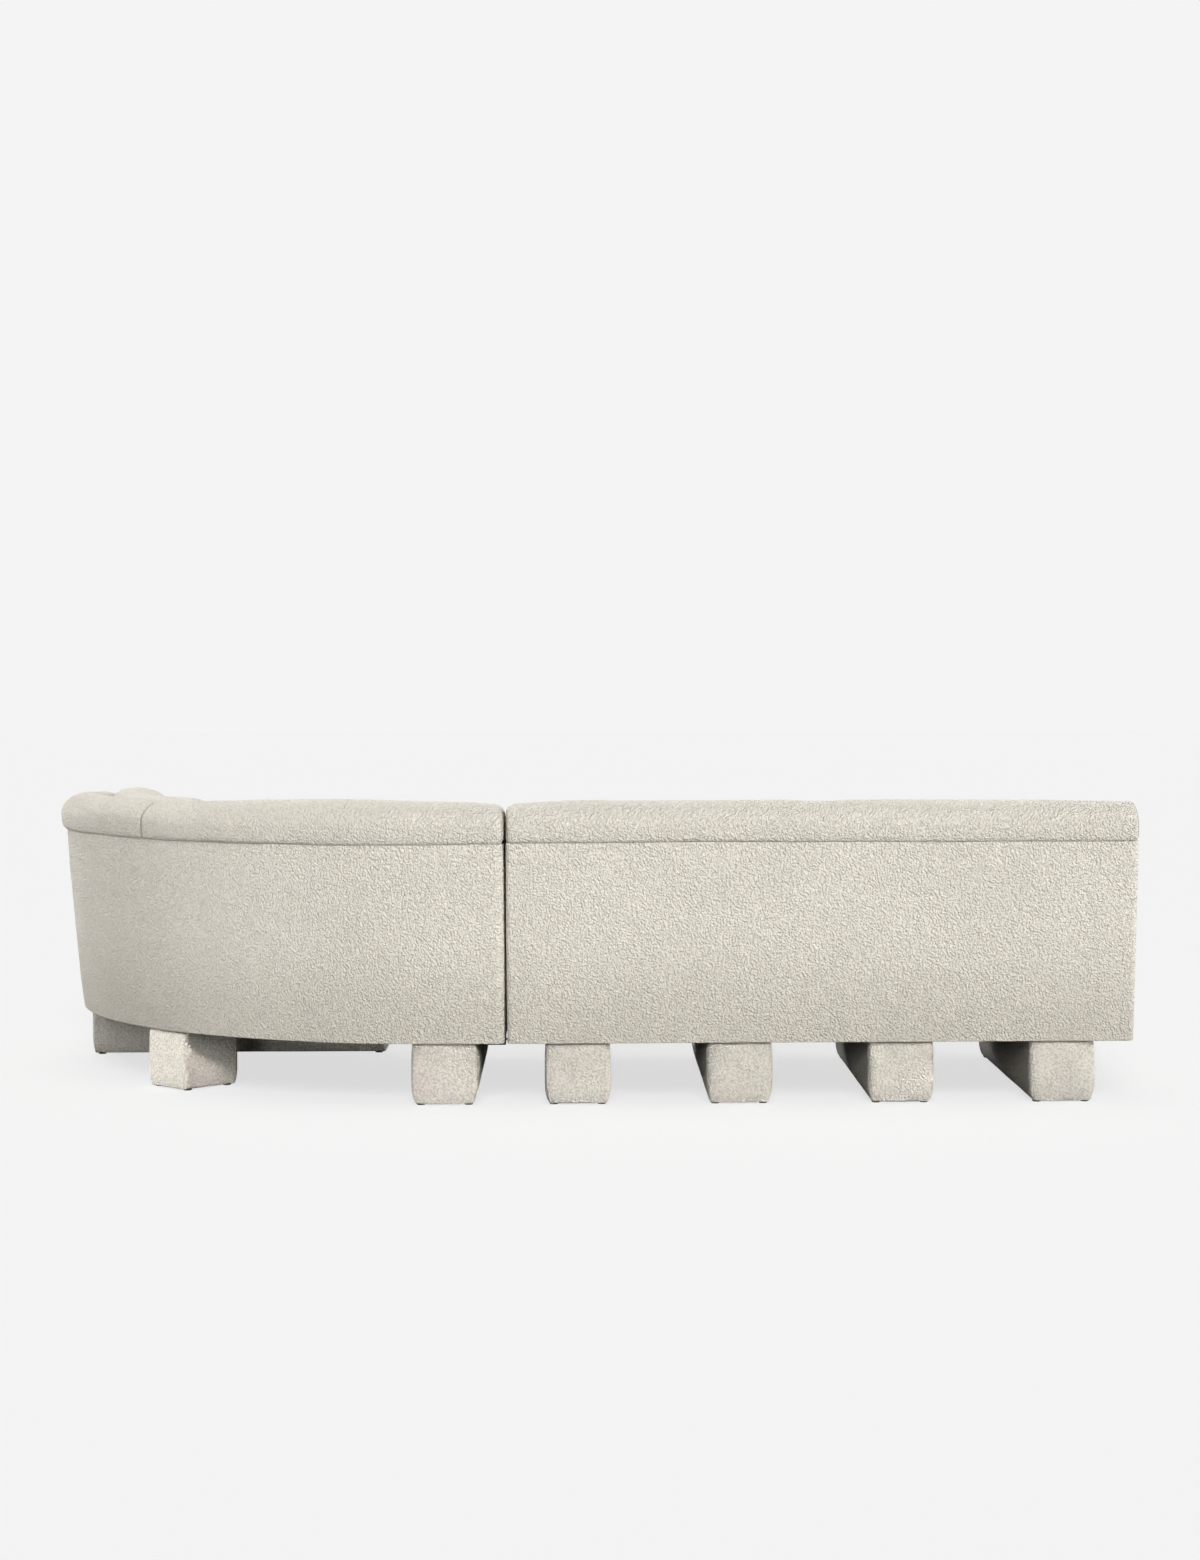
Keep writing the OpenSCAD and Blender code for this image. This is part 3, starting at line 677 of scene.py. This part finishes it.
def crown(k, s):
    """Slow unevenness of the top of a roll."""
    if k == 0:
        return 2.6 * np.exp(-((s - 190) / 90.0) ** 2) - 2.4 * np.clip((s - 900) / 500, 0, 1)
    return (5.8 * np.exp(-((s - 480) / 220.0) ** 2) - 5.0 * np.exp(-((s - 900) / 110.0) ** 2)
            - 6.0 * np.exp(-s / 24.0))



ob = back_panel("back_panel_straight", straight_map, SW, 10.0, 11.0, sag=seam_follow(0), flare=3.6)
nap(ob, 0.9, 0.8, 0)
piece(ob, "straight_module", "straight_back_panel", pad=1.0)
ob = back_panel("back_panel_corner", corner_map, CL, 23.0, 12.0, sag=seam_follow(1))
nap(ob, 0.9, 1.1, 1)
piece(ob, "corner_module", "corner_back_panel", pad=1.0)

RL = roll_loop()
ob = sweep("top_roll_straight", RL, SW + 1.5, straight_map, (13, 11), 4.2,
           warp=roll_warp(SW, (9.0, 75.0), (2.5, 60.0), None, 0), seam=(True, True), cap_puff=(0.5, 1.5))
nap(ob, 0.9, 0.7, 2)
piece(ob, "straight_module", "straight_top_roll", pad=0.85)
ob = sweep("top_roll_corner", RL, CL, corner_map, (15, 18), 4.6,
           warp=roll_warp(CL, (9.0, 90.0), (12.5, 240.0), CMID, 1), seam=(True, True), pinch_at=[CMID])
nap(ob, 0.9, 0.9, 3)
piece(ob, "corner_module", "corner_top_roll", pad=0.85)


# ---------------------------------------------------------------- inner back pads
def pad_loop():
    pts = np.array([(82, 299), (82, 724), (89, 737), (103, 743.5), (124, 747), (145, 748), (165, 745), (185, 737), (203, 723),
                    (220, 702), (233, 676), (245, 640), (255, 600), (263, 550), (269, 500), (273, 440), (276, 380), (276, 299)], float)
    lp = chain([[pts[0], pts[1]], 14.0], [pts[1:7], 4.5], [pts[6:17], 4.5], [[pts[16], pts[17]], 8.0], [[pts[17], pts[0]], 14.0])
    return smooth_loop(lp, 3)


def pad_warp(length, pinches, near=(8, 80), far=(8, 80), swell=0.0, k=0):
    def warp(S, D, Z, n):
        up = np.clip((Z - 320) / 430, 0, 1)
        Z = Z - end_drop(np.clip(S, 0, length), length, near, far) * up ** 2
        front = np.clip(n[..., 0], 0, 1)
        e = np.clip(np.minimum(S, length - S) / 160.0, 0, 1)
        e = e * e * (3 - 2 * e)
        belly = np.exp(-((Z - 560) / 120.0) ** 2)
        D = D + front * belly * (6 * e - 2)
        Z = Z + (crown(k, np.clip(S, 0, length)) + swell * np.exp(-((S - length + 190) / 150.0) ** 2)) * up ** 3
        for c in pinches:
            t = S - c
            g = np.exp(-(t / 3.4) ** 2) * 4.0 + np.exp(-(t / 42.0) ** 2) * 5.0
            D = D - n[..., 0] * g * np.clip(n[..., 0] + 0.6, 0, 1)
            Z = Z - n[..., 1] * g * np.clip(n[..., 1], 0, 1)
        return S, D, Z
    return warp


PL = pad_loop()
ob = sweep("back_pad_straight", PL, SW - 1.5, straight_map, (22, 24), 4.8, warp=pad_warp(SW, [SW / 2]), seam=(True, True), s0=-0.5, cap_puff=(1.0, 1.5), pinch_at=[SW / 2])
nap(ob, 0.9, 1.0, 4)
piece(ob, "straight_module", "straight_back_cushion", pad=0.8)
ob = sweep("back_pad_corner", PL, CL - 1.5, corner_map, (22, 24), 5.6, warp=pad_warp(CL, [CMID], swell=8.0, k=1), seam=(True, True), s0=-0.5, cap_puff=(1.0, 1.5), pinch_at=[CMID])
nap(ob, 0.9, 1.0, 5)
piece(ob, "corner_module", "corner_back_cushion", pad=0.8)


# ---------------------------------------------------------------- seat cushions
def seat_loop(step):
    z0, z1 = 299.0, 438.0
    r = (z1 - z0) / 2
    nose = arc((BD + 8 - r, (z0 + z1) / 2), r, -90, 90, 24)
    top = [nose[-1], (306, z1)]
    rear = arc((304, z1 - 22), 22, 90, 180, 6)
    lp = chain([nose, step], [top, step], [rear, step], [[rear[-1], (282, z0 + 8)], step], [[(282, z0 + 8), (290, z0)], step], [[(290, z0), nose[0]], step * 1.4])
    return smooth_loop(lp, 2)


def seat_warp(length, crown, pinches=()):
    def warp(S, D, Z, n):
        u = np.clip(S / length, 0, 1)
        v = np.clip((D - 282) / (BD + 8 - 282), 0, 1)
        c = (1 - np.abs(2 * u - 1) ** 3.0) * (1 - np.abs(2 * v - 1) ** 3.0)
        Z = Z + crown * c * np.clip(n[..., 1], 0, 1) - crown * 0.25 * (1 - c) * np.clip(n[..., 1], 0, 1)
        for q in pinches:
            t = S - q
            g = np.exp(-(t / 3.4) ** 2) * 4.0 + np.exp(-(t / 45.0) ** 2) * 6.0
            k = np.clip(n[..., 1] + 0.5, 0, 1)
            Z = Z - n[..., 1] * g * k
            D = D - n[..., 0] * g * k * (v > 0.5)
        return S, D, Z
    return warp


def seat(name, mapf, s0, s1, body, nodes_, seed, pinches=(), step=5.0, sstep=5.0):
    ob = sweep(name, seat_loop(step), s1 - s0, mapf, (17, 17), sstep, warp=None if False else shifted(seat_warp(s1 - s0, 15.0, [p - s0 for p in pinches]), s0), seam=(True, True), s0=s0, cap_puff=(1.2, 1.2), pinch_at=list(pinches))
    nap(ob, 0.9, 1.4, seed)
    return piece(ob, body, *nodes_, pad=0.75)


def shifted(w, s0):
    def warp(S, D, Z, n):
        a, b, c = w(S - s0, D, Z, n)
        return a + s0, b, c
    return warp


def foam_core(name, mapf, s0, s1, body, node_):
    """The foam block inside a cushion's cover, 15 mm in from it all round."""
    lp = resample(seat_loop(9.0), 15.0)
    lp = lp - loop_normals(lp) * 15.0
    ob = sweep(name, lp, s1 - s0 - 34, mapf, (6, 6), 16.0, warp=shifted(seat_warp(s1 - s0 - 34, 11.0), s0 + 17), s0=s0 + 17)
    piece(ob, body, node_, pad=0.9)
    ob.data.materials.clear()
    ob.data.materials.append(M_FOAM)
    return ob


mid = SW / 2
foam_core("seat_foam_block_inner", straight_map, 2.0, mid - 1.5, "inner_seat", "seat_foam_inner")
foam_core("seat_foam_block_outer", straight_map, mid + 1.5, SW - 2.0, "outer_seat", "seat_foam_outer")
foam_core("seat_foam_block_corner", corner_map, 2.0, CL - 2.0, "corner_seat", "corner_seat_foam")
seat("seat_cushion_inner", straight_map, 2.0, mid - 1.5, "inner_seat", ["seat_cover_inner"], 6)
seat("seat_cushion_outer", straight_map, mid + 1.5, SW - 2.0, "outer_seat", ["seat_cover_outer"], 7)
seat("seat_cushion_corner", corner_map, 2.0, CL - 2.0, "corner_seat", ["corner_seat_cover"], 8, pinches=[CMID], step=5.5, sstep=7.5)


# ---------------------------------------------------------------- front and end panels
def slab(name, poly, t0, t1, mapf, r=6.0, step=5.0, lean_back=False):
    """A padded board: the outline poly in (d, z), between s = t0 and t1, voxelled, rounded."""
    poly = np.asarray(poly, float)
    m = len(poly)
    V = np.vstack([np.stack([0 * poly[:, 0] + t, poly[:, 0], poly[:, 1]], -1) for t in (t0, t1)])
    f = [tuple(range(m)), tuple(reversed(range(m, 2 * m)))]
    f += [(i, (i + 1) % m, m + (i + 1) % m, m + i) for i in range(m)]
    W = mapf(V[:, 0], V[:, 1], V[:, 2])
    ob = make(name, OUT(W), f)
    bev = ob.modifiers.new("b", "BEVEL")
    bev.width = r / 1000
    bev.segments = 4
    bev.limit_method = "ANGLE"
    rem = ob.modifiers.new("r", "REMESH")
    rem.mode = "VOXEL"
    rem.voxel_size = step / 1000
    sm = ob.modifiers.new("s", "SMOOTH")
    sm.factor = 0.5
    sm.iterations = 3
    return bake(ob)


def bake(ob):
    dg = bpy.context.evaluated_depsgraph_get()
    dg.update()
    me = bpy.data.meshes.new_from_object(ob.evaluated_get(dg))
    old = ob.data
    ob.modifiers.clear()
    ob.data = me
    bpy.data.meshes.remove(old)
    me.polygons.foreach_set("use_smooth", np.ones(len(me.polygons), bool))
    return ob


def end_outline(edge):
    z = np.linspace(BZ + 1, SEAM - 1, 12)
    back = np.stack([out_d(z) + edge, z], -1)
    return np.vstack([[(BD - 9, BZ + 1)], [(BD - 9, 296)], [(83, 296)], [(83, SEAM - 1)], back[::-1]])


for nm, mapf, body, s_lo, s_hi, edge, nd in (
        ("end_panel_straight_joint", straight_map, "straight_module", 0.5, 14.0, 13.0, "straight_end_panel_joint"),
        ("end_panel_straight_free", straight_map, "straight_module", SW - 14.0, SW, 14.0, "straight_end_panel_free"),
        ("end_panel_corner_joint", corner_map, "corner_module", 0.5, 14.0, 26.0, "corner_end_panel_joint"),
        ("end_panel_corner_free", corner_map, "corner_module", CL - 14.0, CL, 15.0, "corner_end_panel_free")):
    ob = slab(nm, end_outline(edge), s_lo, s_hi, mapf)
    nap(ob, 0.9, 0.5, 9)
    piece(ob, body, nd, pad=1.0)


def front_panel(name, mapf, length, step):
    lp = chain([[(BD, BZ + 6), (BD, 290)], 4.6], [arc((BD - 6, 290), 6, 0, 90, 4), 3.0],
               [[(BD - 6, 296), (BD - 10, 296)], 3.0], [arc((BD - 10, 292), 4, 90, 180, 3), 3.0],
               [[(BD - 14, 292), (BD - 14, BZ + 6)], 12.0], [arc((BD - 7, BZ + 6), 7, 180, 360, 8), 3.0])
    ob = sweep(name, lp, length, mapf, (6, 6), step, cap_step=4.0)
    nap(ob, 0.8, 0.8, 10)
    return ob


piece(front_panel("front_panel_straight", straight_map, SW, 4.6), "straight_module", "straight_front_panel", pad=1.0)
piece(front_panel("front_panel_corner", corner_map, CL, 9.0), "corner_module", "corner_front_panel", pad=1.0)


# ---------------------------------------------------------------- legs
def leg(name, w, l, place, body, nodes_, seed):
    """A padded block: rounded upright edges, slightly full faces, narrower at the foot."""
    rc = 12.0
    z_lo, z_hi = 3.6, 154.4
    c = []
    for cx, cy, a in ((w - rc, l - rc, 0), (rc, l - rc, 90), (rc, rc, 180), (w - rc, rc, 270)):
        c.append(arc((cx, cy), rc, a, a + 90, 7))
    loop = resample(np.vstack(c), 4.4, closed=True)
    n = loop_normals(loop)
    rows = []
    # the foot turns under tightly on the front and back and more softly at the sides
    rb = 4.0 + 3.5 * np.abs(n[:, 0]) ** 2
    for i in range(7):
        rows.append((None, math.pi / 2 * i / 6))
    for z in np.arange(z_lo + 11 + 3.5, z_hi - 2, 4.2):
        rows.append((z, 0.0))
    rows.append((z_hi, 0.8))
    V = []
    for z, ins in rows:
        if z is None:
            z = z_lo + rb * (1 - math.cos(ins))
            ins = rb * (1 - math.sin(ins))
        h = (z - z_lo) / (z_hi - z_lo)
        # the sides hang full and draw in over the lowest quarter
        taper = 7.5 * np.clip((0.30 - h) / 0.30, 0, 1) ** 2 * (0.35 + 0.65 * np.abs(n[:, 0]))
        fx = 1 - np.abs(2 * np.clip(loop[:, 0] / w, 0, 1) - 1) ** 4
        fy = 1 - np.abs(2 * np.clip(loop[:, 1] / l, 0, 1) - 1) ** 4
        full = (2.6 + 0.8 * np.maximum(fx, fy)) * (1 - np.abs(2 * h - 1) ** 4)
        p = loop - n * (ins + taper - full)[:, None]
        V.append(np.stack([p[:, 0], p[:, 1], 0 * p[:, 0] + z], -1))
    m = len(loop)
    k = len(V)
    V = np.vstack(V)
    f = ring_faces(k, m)
    f.append(tuple(reversed(range(m))))
    f.append(tuple(range((k - 1) * m, k * m)))
    V = place(V)
    ob = make(name, OUT(V), f)
    nap(ob, 1.0, 0.6, seed)
    return piece(ob, body, *nodes_, pad=1.0)


LW, LL, LM = 158.0, 829.0, 170.0
for i in range(4):
    x0 = -3.0 - 94.0 - LW - i * (SW - 2 * 94.0 - LW) / 3
    leg("leg_straight_%d" % (i + 1), LW, LL, lambda V, x0=x0: V + np.array([x0, -22.0 - LL, 0]), "straight_module", ["straight_leg_%d" % (i + 1)], 12 + i)
leg("leg_corner_joint", LW, LL, lambda V: V + np.array([75.0, -22.0 - LL, 0]), "corner_module", ["corner_leg_joint"], 16)


def across(V):
    # the joint-end leg mirrored across the corner's diagonal
    P = V + np.array([75.0, -22.0 - LL, 0])
    return np.stack([CW + P[:, 1], P[:, 0] - CW, P[:, 2]], -1)


leg("leg_corner_free", LW, LL, across, "corner_module", ["corner_leg_free"], 17)


def diagonal(V):
    a = -math.pi / 4
    P = V + np.array([-LW / 2, R - 19.0 - LM, 0])
    return np.stack([XC + P[:, 0] * math.cos(a) - P[:, 1] * math.sin(a), YC + P[:, 0] * math.sin(a) + P[:, 1] * math.cos(a), P[:, 2]], -1)


ob = leg("leg_corner_middle", LW, LM, diagonal, "corner_module", ["corner_leg_middle"], 18)

# ---------------------------------------------------------------- floor, light, camera
me = bpy.data.meshes.new("floor")
me.from_pydata([(-60, -60, 0), (60, -60, 0), (60, 60, 0), (-60, 60, 0)], [], [(0, 1, 2, 3)])
floor = bpy.data.objects.new("floor", me)
scene.collection.objects.link(floor)
m, t, b = mat("pale_floor")
t.nodes.remove(b)
em = node(t, "ShaderNodeEmission")
em.inputs["Color"].default_value = (1, 1, 1, 1)
em.inputs["Strength"].default_value = 0.690
df = node(t, "ShaderNodeBsdfDiffuse")
df.inputs["Color"].default_value = (0.285, 0.285, 0.285, 1)
ad = node(t, "ShaderNodeAddShader")
t.links.new(em.outputs[0], ad.inputs[0])
t.links.new(df.outputs[0], ad.inputs[1])
t.links.new(ad.outputs[0], t.nodes["Material Output"].inputs["Surface"])
me.materials.append(m)
floor.visible_diffuse = False
floor.visible_glossy = False
floor.visible_shadow = False

world = bpy.data.worlds.new("soft_room")
scene.world = world
world.use_nodes = True
wt = world.node_tree
bg = wt.nodes["Background"]
bg.inputs["Color"].default_value = (0.905, 0.905, 0.905, 1)
bg.inputs["Strength"].default_value = 1.0
amb = node(wt, "ShaderNodeBackground")
tc = node(wt, "ShaderNodeTexCoord")
sx = node(wt, "ShaderNodeSeparateXYZ")
wt.links.new(tc.outputs["Generated"], sx.inputs[0])
wt.links.new(ramp(wt, math_node(wt, "MULTIPLY_ADD", sx.outputs[2], 0.5), [(0.51, (0.02, 0.02, 0.02)), (0.64, (0.80, 0.80, 0.81)), (0.95, (0.52, 0.52, 0.53))]), amb.inputs["Color"])
sx.outputs[2].links[0].to_node.inputs[2].default_value = 0.5
amb.inputs["Strength"].default_value = 0.40
lp = node(wt, "ShaderNodeLightPath")
mx = node(wt, "ShaderNodeMixShader")
wt.links.new(lp.outputs["Is Camera Ray"], mx.inputs[0])
wt.links.new(amb.outputs[0], mx.inputs[1])
wt.links.new(bg.outputs[0], mx.inputs[2])
wt.links.new(mx.outputs[0], wt.nodes["World Output"].inputs["Surface"])


def sun(name, az, el, strength, angle):
    """Light arriving from azimuth az (0 from +Y, 90 from +X) at elevation el."""
    l = bpy.data.lights.new(name, "SUN")
    l.energy = strength
    l.angle = math.radians(angle)
    o = bpy.data.objects.new(name, l)
    scene.collection.objects.link(o)
    a, e = math.radians(az), math.radians(el)
    d = Vector((math.sin(a) * math.cos(e), math.cos(a) * math.cos(e), math.sin(e)))
    o.rotation_mode = "QUATERNION"
    o.rotation_quaternion = d.to_track_quat("Z", "Y")
    return o


def receivers(name, obs, state):
    c = bpy.data.collections.new(name)
    for o in obs:
        c.objects.link(o)
    for e in c.collection_objects:
        e.light_linking.link_state = state
    return c


LEGS = [o for o in scene.collection.objects if o.name.startswith("leg_")]
only_floor = receivers("only_floor", [floor], "INCLUDE")
only_legs = receivers("only_legs", LEGS, "INCLUDE")
only_long_legs = receivers("only_long_legs", [o for o in LEGS if o.name != "leg_corner_middle"], "INCLUDE")
only_block = receivers("only_block", [o for o in LEGS if o.name == "leg_corner_middle"], "INCLUDE")
not_floor = receivers("not_floor", [floor], "EXCLUDE")
body_only = receivers("body_only", [floor] + LEGS, "EXCLUDE")
for l in (sun("key_behind", -42, 16, 2.05, 9), sun("front_soft", 12, 18, 0.98, 24)):
    l.light_linking.receiver_collection = not_floor
for l in (sun("bounce_behind", 0, -22, 1.05, 40), sun("top_soft", 20, 62, 0.08, 40),
          sun("side_corner", 104, 18, 1.9, 40), sun("side_straight", -105, 14, 1.4, 40),
          sun("fill_front", 150, 30, 1.9, 14), sun("bounce_front", 180, -13, 0.8, 30)):
    l.light_linking.receiver_collection = body_only
for l in (sun("legs_under", 0, 3, 0.3, 6),
          sun("legs_side_a", 92, 25, 1.15, 10), sun("legs_side_b", -92, 32, 1.1, 14),
          sun("legs_far", 172, 22, 2.9, 14)):
    l.light_linking.receiver_collection = only_legs
sun("legs_front", -30, 14, 0.55, 12).light_linking.receiver_collection = only_long_legs
sun("block_side", 62, 22, 2.3, 10).light_linking.receiver_collection = only_block
for l in (sun("floor_low", 0, 33, 2.15, 24), sun("floor_top", 0, 88, 0.35, 60)):
    l.light_linking.receiver_collection = only_floor

cam_data = bpy.data.cameras.new("camera")
cam_data.lens = 60.87
cam_data.sensor_width = 36.0
cam_data.sensor_fit = "AUTO"
cam_data.clip_end = 200.0
cam = bpy.data.objects.new("camera", cam_data)
scene.collection.objects.link(cam)
yaw, pitch, roll = math.radians(-0.5166), math.radians(1.906), math.radians(-0.2405)
fwd = Vector((math.sin(yaw), -math.cos(yaw), 0))
right = Vector((-math.cos(yaw), -math.sin(yaw), 0))
f3 = fwd * math.cos(pitch) - Vector((0, 0, 1)) * math.sin(pitch)
u2 = fwd * math.sin(pitch) + Vector((0, 0, 1)) * math.cos(pitch)
r3 = right * math.cos(roll) + u2 * math.sin(roll)
u3 = -right * math.sin(roll) + u2 * math.cos(roll)
rot = Matrix((r3, u3, -f3)).transposed().to_4x4()
cam.matrix_world = Matrix.Translation(Vector((-0.0395, 7.0496, 1.0198))) @ rot
scene.camera = cam

scene.view_settings.view_transform = "Standard"
scene.view_settings.look = "None"
scene.view_settings.exposure = 0.0
scene.view_settings.gamma = 1.0
